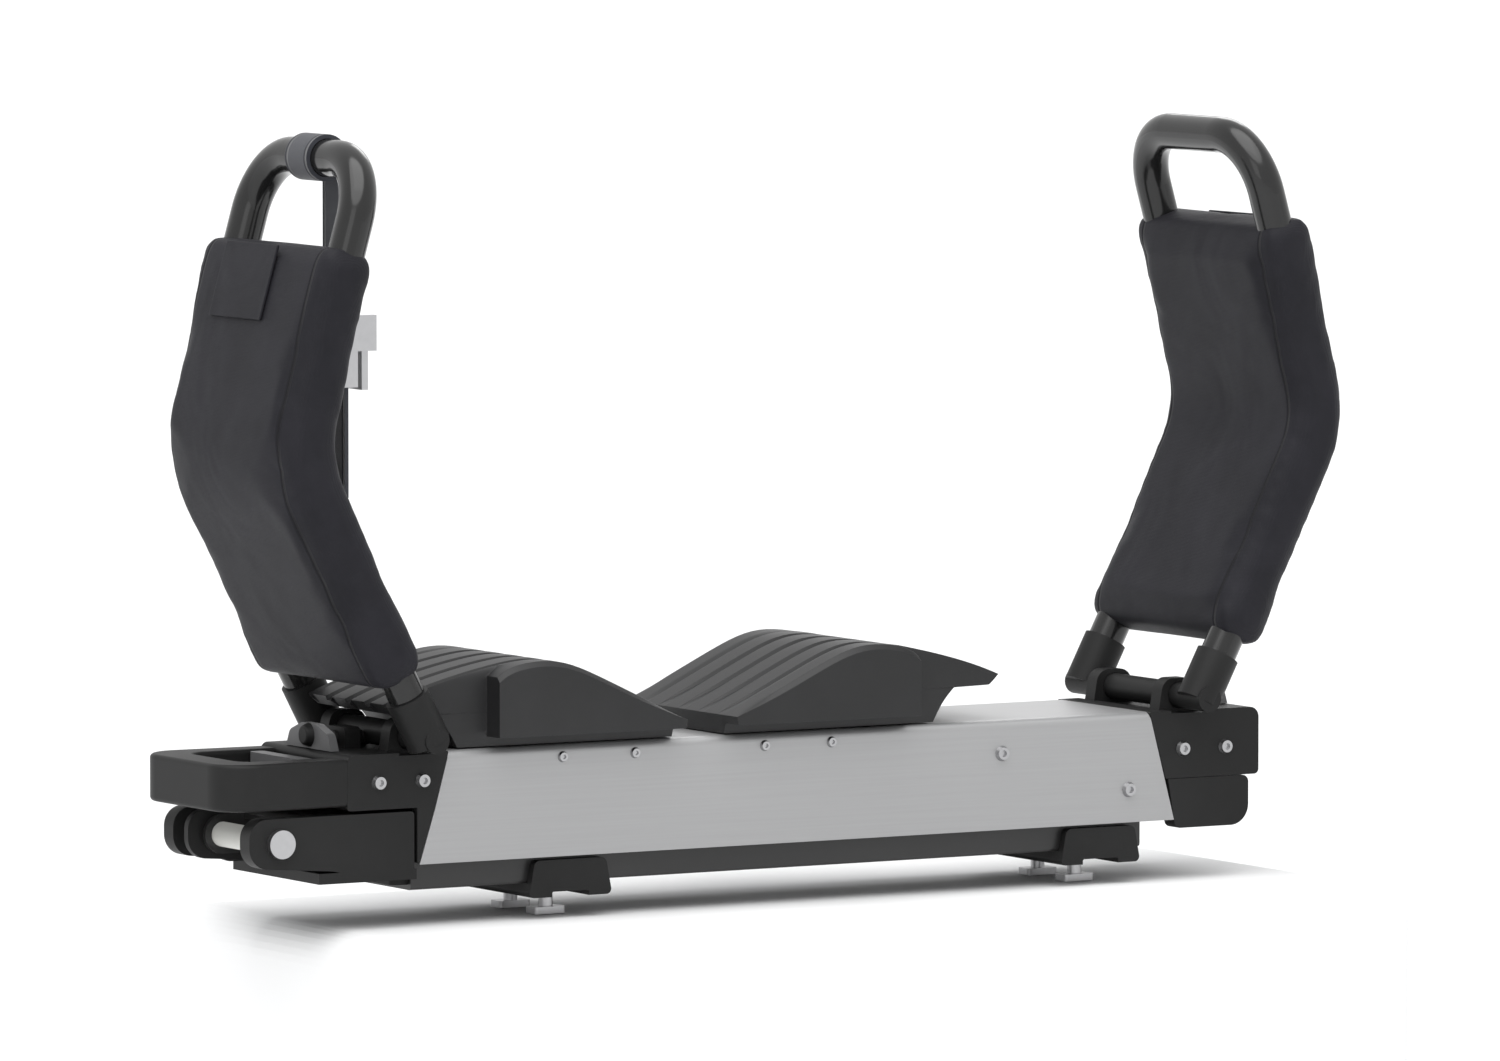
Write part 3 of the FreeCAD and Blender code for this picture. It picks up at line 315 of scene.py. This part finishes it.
satin_aluminium = finish_material("satin_aluminium", drawn, {
    "Color": grey(0.36, 0.01), "Roughness": 0.42, "Line Stretch": (9.0, 700.0, 700.0),
    "Line Depth": 0.08}, metallic=0.55)
dress(satin_aluminium, "housing")
zinc_steel = finish_material("zinc_steel", drawn, {
    "Color": grey(0.46, 0.02), "Roughness": 0.3, "Line Stretch": (260.0, 260.0, 260.0),
    "Line Depth": 0.04}, metallic=1.0)
fixings = [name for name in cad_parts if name.endswith(("_track_bolt", "_track_nut", "_pin"))]
dress(zinc_steel, "lever_spring_1", "lever_spring_2", "cam_buckle", "cam_lever", *fixings)
rod_chrome = finish_material("rod_chrome", drawn, {
    "Color": grey(0.78), "Roughness": 0.12, "Line Stretch": (60.0, 60.0, 60.0),
    "Line Depth": 0.01}, metallic=1.0)
dress(rod_chrome, "gas_strut_rod")

# Hoops
# Bent steel tube with a glossy black coat that picks up long soft highlights.
gloss_black = finish_material("gloss_black", grain, {
    "Color": grey(0.010), "Rubbed Color": grey(0.013), "Roughness": 0.2,
    "Grain Size": 260.0, "Grain Depth": 0.015}, Coat_Weight=0.3, Coat_Roughness=0.1,
    Specular_IOR_Level=0.3)
dress(gloss_black, "near_hoop", "far_hoop")

# Saddle pads
# Moulded black rubber pads with a soft sheen. Each is one side profile carried across the unit
# from side to side, sunk between its ribs and rounded everywhere.
saddle_rubber = finish_material("saddle_rubber", grain, {
    "Color": grey(0.013, 0.04), "Rubbed Color": grey(0.020, 0.05), "Roughness": 0.48,
    "Grain Size": 1100.0, "Grain Depth": 0.18}, Specular_IOR_Level=0.35)
saddle_profile = [(-0.248, 0.0868), (-0.180, 0.0866), (-0.109, 0.0866), (-0.108, 0.0975),
                  (-0.135, 0.1105), (-0.160, 0.1225), (-0.182, 0.1325), (-0.200, 0.1355),
                  (-0.222, 0.1325), (-0.250, 0.1265), (-0.276, 0.1190), (-0.292, 0.1125),
                  (-0.286, 0.1065), (-0.262, 0.1060), (-0.254, 0.0980)]
tip_half, wing_half, wing_start = 0.0465, 0.0630, -0.2300
rib_stations, groove_half, groove_deep = (-0.044, -0.022, 0.0, 0.022, 0.044), 0.0024, 0.0022
pad_top_from, wing_floor, end_drop, saddle_mirror_x = 0.109, 0.0925, 0.003, -0.092


def object_from(name, form, material, smooth=True):
    """Makes an object from a bmesh at the origin and gives it its finish."""
    mesh = bpy.data.meshes.new(name)
    form.to_mesh(mesh)
    form.free()
    for face in mesh.polygons:
        face.use_smooth = smooth
    mesh.materials.append(material)
    piece = bpy.data.objects.new(name, mesh)
    bpy.context.collection.objects.link(piece)
    return piece


def saddle_stations():
    """Places across the unit where the pad's section changes, with what it is there."""
    stations = [(-wing_half, "end"), (-wing_half + 0.003, "wing"), (-tip_half - 0.002, "wing")]
    stations.append((-tip_half, "tip"))
    for middle in rib_stations:
        for step, kind in ((-groove_half - 0.0012, "tip"), (-groove_half, "groove"),
                           (groove_half, "groove"), (groove_half + 0.0012, "tip")):
            if abs(middle + step) < tip_half - 0.0005:
                stations.append((middle + step, kind))
    stations += [(tip_half, "tip"), (tip_half + 0.002, "wing"), (wing_half - 0.003, "wing"),
                 (wing_half, "end")]
    return stations


def section_point(x, z, kind):
    """The profile's point as it is at one kind of station."""
    on_top = z > pad_top_from
    if kind == "groove" and on_top:
        z -= groove_deep
    if kind in ("wing", "end"):
        x = max(x, wing_start)
        z = max(z, wing_floor)
    if kind == "end" and on_top:
        z -= end_drop
    return x, z


def saddle_form():
    """Carries the profile across the unit, one station after another."""
    form = bmesh.new()
    stations = saddle_stations()
    ring = [form.verts.new((x, 0, z)) for x, z in saddle_profile]
    form.faces.new(ring)
    rings = [ring]
    for _ in stations[1:]:
        edges = [edge for edge in form.edges if all(vert in rings[-1] for vert in edge.verts)]
        grown = bmesh.ops.extrude_edge_only(form, edges=edges)
        fresh = [item for item in grown["geom"] if isinstance(item, bmesh.types.BMVert)]
        order = {}
        for vert in fresh:
            nearest = min(rings[-1], key=lambda old: (old.co - vert.co).length)
            order[nearest] = vert
        rings.append([order[vert] for vert in rings[-1]])
    for (y, kind), ring in zip(stations, rings):
        for vert, (x, z) in zip(ring, saddle_profile):
            x, z = section_point(x, z, kind)
            vert.co = (x, y, z)
    form.faces.new(rings[-1])
    bmesh.ops.recalc_face_normals(form, faces=form.faces)
    return form


near_pad = object_from("near_saddle_pad", saddle_form(), saddle_rubber)
far_form = bmesh.new()
far_form.from_mesh(near_pad.data)
bmesh.ops.scale(far_form, verts=far_form.verts, vec=(-1, 1, 1))
bmesh.ops.translate(far_form, verts=far_form.verts, vec=(2 * saddle_mirror_x, 0, 0))
bmesh.ops.recalc_face_normals(far_form, faces=far_form.faces)
far_pad = object_from("far_saddle_pad", far_form, saddle_rubber)
for pad, solid in ((near_pad, "near_saddle"), (far_pad, "far_saddle")):
    rounding = pad.modifiers.new("moulded_edges", "BEVEL")
    rounding.width = 0.0014
    rounding.segments = 2
    rounding.limit_method = "ANGLE"
    smoothing = pad.modifiers.new("soft_surface", "SUBSURF")
    smoothing.levels = smoothing.render_levels = 2
    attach(pad, "cradle")
    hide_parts(solid)

# Padded covers
# Foam sleeves in a coated charcoal fabric, sewn along both long edges. Each starts as a bent slab,
# is blown up by cloth pressure and then gets its sewn seams: sunk lines with painted shade along
# them.
hinge = Vector((-0.275, 0, 0.094))
lower_lean, upper_lean = math.radians(28), math.radians(16)
lower_way = Vector((-math.sin(lower_lean), 0, math.cos(lower_lean)))
upper_way = Vector((math.sin(upper_lean), 0, math.cos(upper_lean)))
lower_leg = 0.178
bend = hinge + lower_way * lower_leg
mirror_x = -0.020


def on_upright(reach, offset):
    """Point on the upright's bent line: reach from its hinge, offset toward the load."""
    blend_length = 0.024
    along = min(max((reach - lower_leg + blend_length) / (2 * blend_length), 0), 1)
    lean = -lower_lean + (lower_lean + upper_lean) * along
    way = Vector((math.sin(lean), 0, math.cos(lean)))
    across = Vector((way.z, 0, -way.x))
    if reach < lower_leg - blend_length:
        base = hinge + lower_way * reach
    elif reach > lower_leg + blend_length:
        base = bend + upper_way * (reach - lower_leg)
    else:
        first = bend - lower_way * blend_length
        last = bend + upper_way * blend_length
        base = (first * (1 - along) ** 2 + bend * 2 * along * (1 - along) + last * along ** 2)
    return base + across * offset


def apply_modifiers(piece):
    """Fixes a piece's modifiers into its mesh."""
    graph = bpy.context.evaluated_depsgraph_get()
    solid = bpy.data.meshes.new_from_object(piece.evaluated_get(graph))
    piece.modifiers.clear()
    piece.data = solid


cover_start, cover_end = 0.033, lower_leg + 0.126
cover_width, cover_thickness = 0.150, 0.033
cover_slices, end_room, puff_cap, puff_frames = 24, 0.006, 0.0028, 20


def cover_form():
    """A slab along the upright's bent line, with rounded edges."""
    form = bmesh.new()
    bmesh.ops.create_cube(form, size=1)
    bmesh.ops.scale(form, verts=form.verts,
                    vec=(cover_thickness, cover_width, cover_end - cover_start - end_room))
    bmesh.ops.translate(form, verts=form.verts, vec=(0, 0, (cover_start + cover_end) / 2))
    for step in range(1, cover_slices):
        height = cover_start + (cover_end - cover_start) * step / cover_slices
        bmesh.ops.bisect_plane(form, geom=form.verts[:] + form.edges[:] + form.faces[:],
                               plane_co=(0, 0, height), plane_no=(0, 0, 1))
    sharp = [edge for edge in form.edges if edge.calc_face_angle(0) > 1]
    bmesh.ops.bevel(form, geom=sharp, offset=0.009, segments=3, profile=0.5, affect="EDGES",
                    material=-1)
    for vert in form.verts:
        vert.co = on_upright(vert.co.z, vert.co.x) + Vector((0, vert.co.y, 0))
    return form


def puff(piece, cap):
    """Blows a closed mesh up with cloth pressure, by no more than the cap at any point."""
    remesh = piece.modifiers.new("even_mesh", "REMESH")
    remesh.mode = "VOXEL"
    remesh.voxel_size = 0.005
    apply_modifiers(piece)
    start = [vert.co.copy() for vert in piece.data.vertices]
    cloth = piece.modifiers.new("puffing", "CLOTH")
    cloth.settings.use_pressure = True
    cloth.settings.uniform_pressure_force = 4
    cloth.settings.effector_weights.gravity = 0
    cloth.settings.quality = 6
    cloth.point_cache.frame_start = 1
    cloth.point_cache.frame_end = puff_frames
    for number in range(1, puff_frames + 1):
        bpy.context.scene.frame_set(number)
    apply_modifiers(piece)
    bpy.context.scene.frame_set(1)
    for vert, rest in zip(piece.data.vertices, start):
        move = vert.co - rest
        if move.length > cap:
            vert.co = rest + move.normalized() * cap


fabric, fabric_in, fabric_out = group_start("coated_weave", [
    ("Color", "NodeSocketColor", (0.03, 0.03, 0.03, 1)),
    ("Worn Color", "NodeSocketColor", (0.05, 0.05, 0.05, 1)),
    ("Roughness", "NodeSocketFloat", 0.7),
    ("Threads", "NodeSocketFloat", 900.0),
    ("Weave Depth", "NodeSocketFloat", 0.2),
    ("Seam Place", "NodeSocketFloat", 0.062)])
place = node(fabric, "ShaderNodeTexCoord")
links = fabric.links
warp = node(fabric, "ShaderNodeTexWave", bands_direction="Y", Distortion=0.3, Detail=1.0)
weft = node(fabric, "ShaderNodeTexWave", bands_direction="Z", Distortion=0.3, Detail=1.0)
worn = node(fabric, "ShaderNodeTexNoise", Scale=26.0, Detail=5.0, Roughness=0.6)
crease = node(fabric, "ShaderNodeTexNoise", Scale=17.0, Detail=2.0, Distortion=0.8)
for texture in (warp, weft, worn, crease):
    links.new(place.outputs["Object"], texture.inputs["Vector"])
for texture in (warp, weft):
    links.new(fabric_in.outputs["Threads"], texture.inputs["Scale"])
threads = node(fabric, "ShaderNodeMath", operation="MULTIPLY")
links.new(warp.outputs["Fac"], threads.inputs[0])
links.new(weft.outputs["Fac"], threads.inputs[1])
split = node(fabric, "ShaderNodeSeparateXYZ")
links.new(place.outputs["Object"], split.inputs["Vector"])
side = node(fabric, "ShaderNodeMath", operation="ABSOLUTE")
links.new(split.outputs["Y"], side.inputs[0])
from_seam = node(fabric, "ShaderNodeMath", operation="SUBTRACT")
links.new(side.outputs["Value"], from_seam.inputs[0])
links.new(fabric_in.outputs["Seam Place"], from_seam.inputs[1])
distance = node(fabric, "ShaderNodeMath", operation="ABSOLUTE")
links.new(from_seam.outputs["Value"], distance.inputs[0])
seam_line_and_shade = node(fabric, "ShaderNodeMapRange", From_Min=0.0, From_Max=0.0016, To_Min=1.0, To_Max=0.0)
links.new(distance.outputs["Value"], seam_line_and_shade.inputs["Value"])
wear = node(fabric, "ShaderNodeMapRange", From_Min=0.38, From_Max=0.72)
links.new(worn.outputs["Fac"], wear.inputs["Value"])
mixed = node(fabric, "ShaderNodeMix", data_type="RGBA")
links.new(wear.outputs["Result"], mixed.inputs["Factor"])
links.new(fabric_in.outputs["Color"], mixed.inputs[6])
links.new(fabric_in.outputs["Worn Color"], mixed.inputs[7])
# Along the sunk seam line the colour is darkened too: this is painted shade in the stitch groove.
painted_seam_shade = node(fabric, "ShaderNodeMapRange", To_Min=1.0, To_Max=0.45)
links.new(seam_line_and_shade.outputs["Result"], painted_seam_shade.inputs["Value"])
shaded = node(fabric, "ShaderNodeMix", data_type="RGBA", blend_type="MULTIPLY")
shaded.inputs["Factor"].default_value = 1.0
links.new(mixed.outputs[2], shaded.inputs[6])
links.new(painted_seam_shade.outputs["Result"], shaded.inputs[7])
links.new(shaded.outputs[2], fabric_out.inputs["Color"])
links.new(fabric_in.outputs["Roughness"], fabric_out.inputs["Roughness"])
weave_bump = node(fabric, "ShaderNodeBump", Distance=0.0003)
links.new(threads.outputs["Value"], weave_bump.inputs["Height"])
links.new(fabric_in.outputs["Weave Depth"], weave_bump.inputs["Strength"])
crease_bump = node(fabric, "ShaderNodeBump", Distance=0.004, Strength=0.4)
links.new(crease.outputs["Fac"], crease_bump.inputs["Height"])
links.new(weave_bump.outputs["Normal"], crease_bump.inputs["Normal"])
seam_bump = node(fabric, "ShaderNodeBump", Distance=0.0015, Strength=0.7, invert=True)
links.new(seam_line_and_shade.outputs["Result"], seam_bump.inputs["Height"])
links.new(crease_bump.outputs["Normal"], seam_bump.inputs["Normal"])
links.new(seam_bump.outputs["Normal"], fabric_out.inputs["Normal"])

charcoal_cover = finish_material("charcoal_cover", fabric, {
    "Color": (0.0085, 0.0083, 0.0115, 1), "Worn Color": (0.014, 0.0135, 0.018, 1),
    "Roughness": 0.58, "Threads": 420.0, "Weave Depth": 0.35}, Sheen_Weight=0.02,
    Specular_IOR_Level=0.18)


def mirror_piece(piece, name):
    """A copy of a piece on the other side of the plane between the uprights."""
    form = bmesh.new()
    form.from_mesh(piece.data)
    bmesh.ops.scale(form, verts=form.verts, vec=(-1, 1, 1))
    bmesh.ops.translate(form, verts=form.verts, vec=(2 * mirror_x, 0, 0))
    bmesh.ops.recalc_face_normals(form, faces=form.faces)
    return object_from(name, form, piece.data.materials[0])


near_cover = object_from("near_sewn_cover", cover_form(), charcoal_cover)
puff(near_cover, puff_cap)
for face in near_cover.data.polygons:
    face.use_smooth = True
far_cover = mirror_piece(near_cover, "far_sewn_cover")
for cover, body, solid in ((near_cover, "near_upright", "near_padded_cover"),
                           (far_cover, "far_upright", "far_padded_cover")):
    smoothing = cover.modifiers.new("soft_surface", "SUBSURF")
    smoothing.levels = smoothing.render_levels = 1
    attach(cover, body)
    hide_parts(solid)

# Hem flaps
# Each sleeve closes with a sewn flap on its outer face, near the top.
flap_low, flap_high = cover_end - 0.052, cover_end - 0.009
flap_thickness, flap_width, flap_offset, flap_side = 0.0016, 0.059, -0.0202, 0.010


def flap_form():
    """A thin sewn panel that lies on the sleeve's outer face."""
    form = bmesh.new()
    bmesh.ops.create_cube(form, size=1)
    bmesh.ops.scale(form, verts=form.verts, vec=(flap_thickness, flap_width, flap_high - flap_low))
    bmesh.ops.translate(form, verts=form.verts,
                        vec=(flap_offset, flap_side, (flap_low + flap_high) / 2))
    bmesh.ops.bevel(form, geom=form.edges[:], offset=0.0006, segments=2, profile=0.5,
                    affect="EDGES", material=-1)
    for step in range(1, 6):
        height = flap_low + (flap_high - flap_low) * step / 6
        bmesh.ops.bisect_plane(form, geom=form.verts[:] + form.edges[:] + form.faces[:],
                               plane_co=(0, 0, height), plane_no=(0, 0, 1))
    for vert in form.verts:
        vert.co = on_upright(vert.co.z, vert.co.x) + Vector((0, vert.co.y, 0))
    return form


near_flap = object_from("near_hem_flap", flap_form(), charcoal_cover, smooth=False)
far_flap = mirror_piece(near_flap, "far_hem_flap")
for flap, body in ((near_flap, "near_upright"), (far_flap, "far_upright")):
    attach(flap, body)

# Load strap
# Flat woven polyester webbing, 25 mm wide, looped over the near hoop and held by a cam buckle.
# Its stitch lines near both edges carry the same painted seam shade as the covers.
navy_webbing = finish_material("navy_webbing", fabric, {
    "Color": (0.014, 0.016, 0.024, 1), "Worn Color": (0.022, 0.024, 0.034, 1),
    "Roughness": 0.6, "Threads": 520.0, "Weave Depth": 0.5, "Seam Place": 0.0105},
    Sheen_Weight=0.2)
dress(navy_webbing, "load_strap")

# Screws
# Bright button-head screws that hold the saddle pads, the housing and the end blocks.
screw_steel = finish_material("screw_steel", drawn, {
    "Color": grey(0.42, 0.02), "Roughness": 0.26, "Line Stretch": (400.0, 400.0, 400.0),
    "Line Depth": 0.03}, metallic=1.0)


def screw_head(name, place, outward, radius, body):
    """A domed head with a round sunk socket, seated on a side face."""
    form = bmesh.new()
    bmesh.ops.create_cone(form, cap_ends=True, segments=24, radius1=radius, radius2=radius * 0.78,
                          depth=radius * 0.55)
    bmesh.ops.translate(form, verts=form.verts, vec=(0, 0, radius * 0.275))
    top = max(form.faces, key=lambda face: face.calc_center_median().z)
    bmesh.ops.inset_individual(form, faces=[top], thickness=radius * 0.36, depth=0)
    bmesh.ops.inset_individual(form, faces=[top], thickness=radius * 0.03, depth=-radius * 0.35)
    bmesh.ops.rotate(form, verts=form.verts, cent=(0, 0, 0),
                     matrix=Matrix.Rotation(math.radians(-90 if outward > 0 else 90), 3, "X"))
    bmesh.ops.translate(form, verts=form.verts, vec=place)
    piece = object_from(name, form, screw_steel, smooth=False)
    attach(piece, body)


half_width = 0.050
small_head, large_head = 0.0032, 0.0045
screw_spots = {
    "saddle": [(-0.182, 0.079), (-0.135, 0.079), (-0.050, 0.079), (-0.006, 0.079)],
    "housing": [(0.108, 0.067), (0.194, 0.042)],
    "near_block": [(-0.300, 0.070), (-0.272, 0.070)],
    "far_block": [(0.231, 0.064), (0.260, 0.064)],
}
for group_name, spots in screw_spots.items():
    for row, (x, z) in enumerate(spots, 1):
        for side_name, outward in (("front", -1), ("rear", 1)):
            radius = small_head if group_name == "saddle" else large_head
            screw_head(f"{group_name}_screw_{side_name}_{row}", (x, outward * half_width, z), outward,
                       radius, "cradle")

# Index tab hubs
# A black cap at the middle of each grey pull tab covers the end of its plunger.
hub_rim, hub_top, hub_height = 0.0068, 0.0052, 0.004


def hub_form(outward):
    """A low cap with a rounded rim, seated on the tab's outer face."""
    form = bmesh.new()
    bmesh.ops.create_cone(form, cap_ends=True, segments=32, radius1=hub_rim, radius2=hub_top,
                          depth=hub_height)
    rim = [edge for edge in form.edges if min(vert.co.z for vert in edge.verts) > 0]
    bmesh.ops.bevel(form, geom=rim, offset=0.0009, segments=2, profile=0.5, affect="EDGES",
                    material=-1)
    bmesh.ops.rotate(form, verts=form.verts, cent=(0, 0, 0),
                     matrix=Matrix.Rotation(math.radians(90 * outward), 3, "Y"))
    return form


tab_face, hub_middle, tab_middle = 0.0421, 0.0019, 0.0938
for name, hinge_x, outward in (("near", -0.275, -1), ("far", 0.235, 1)):
    form = hub_form(outward)
    bmesh.ops.translate(form, verts=form.verts,
                        vec=(hinge_x + outward * (tab_face + hub_middle), 0, tab_middle))
    hub = object_from(f"{name}_tab_hub", form, black_nylon, smooth=False)
    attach(hub, f"{name}_tab")
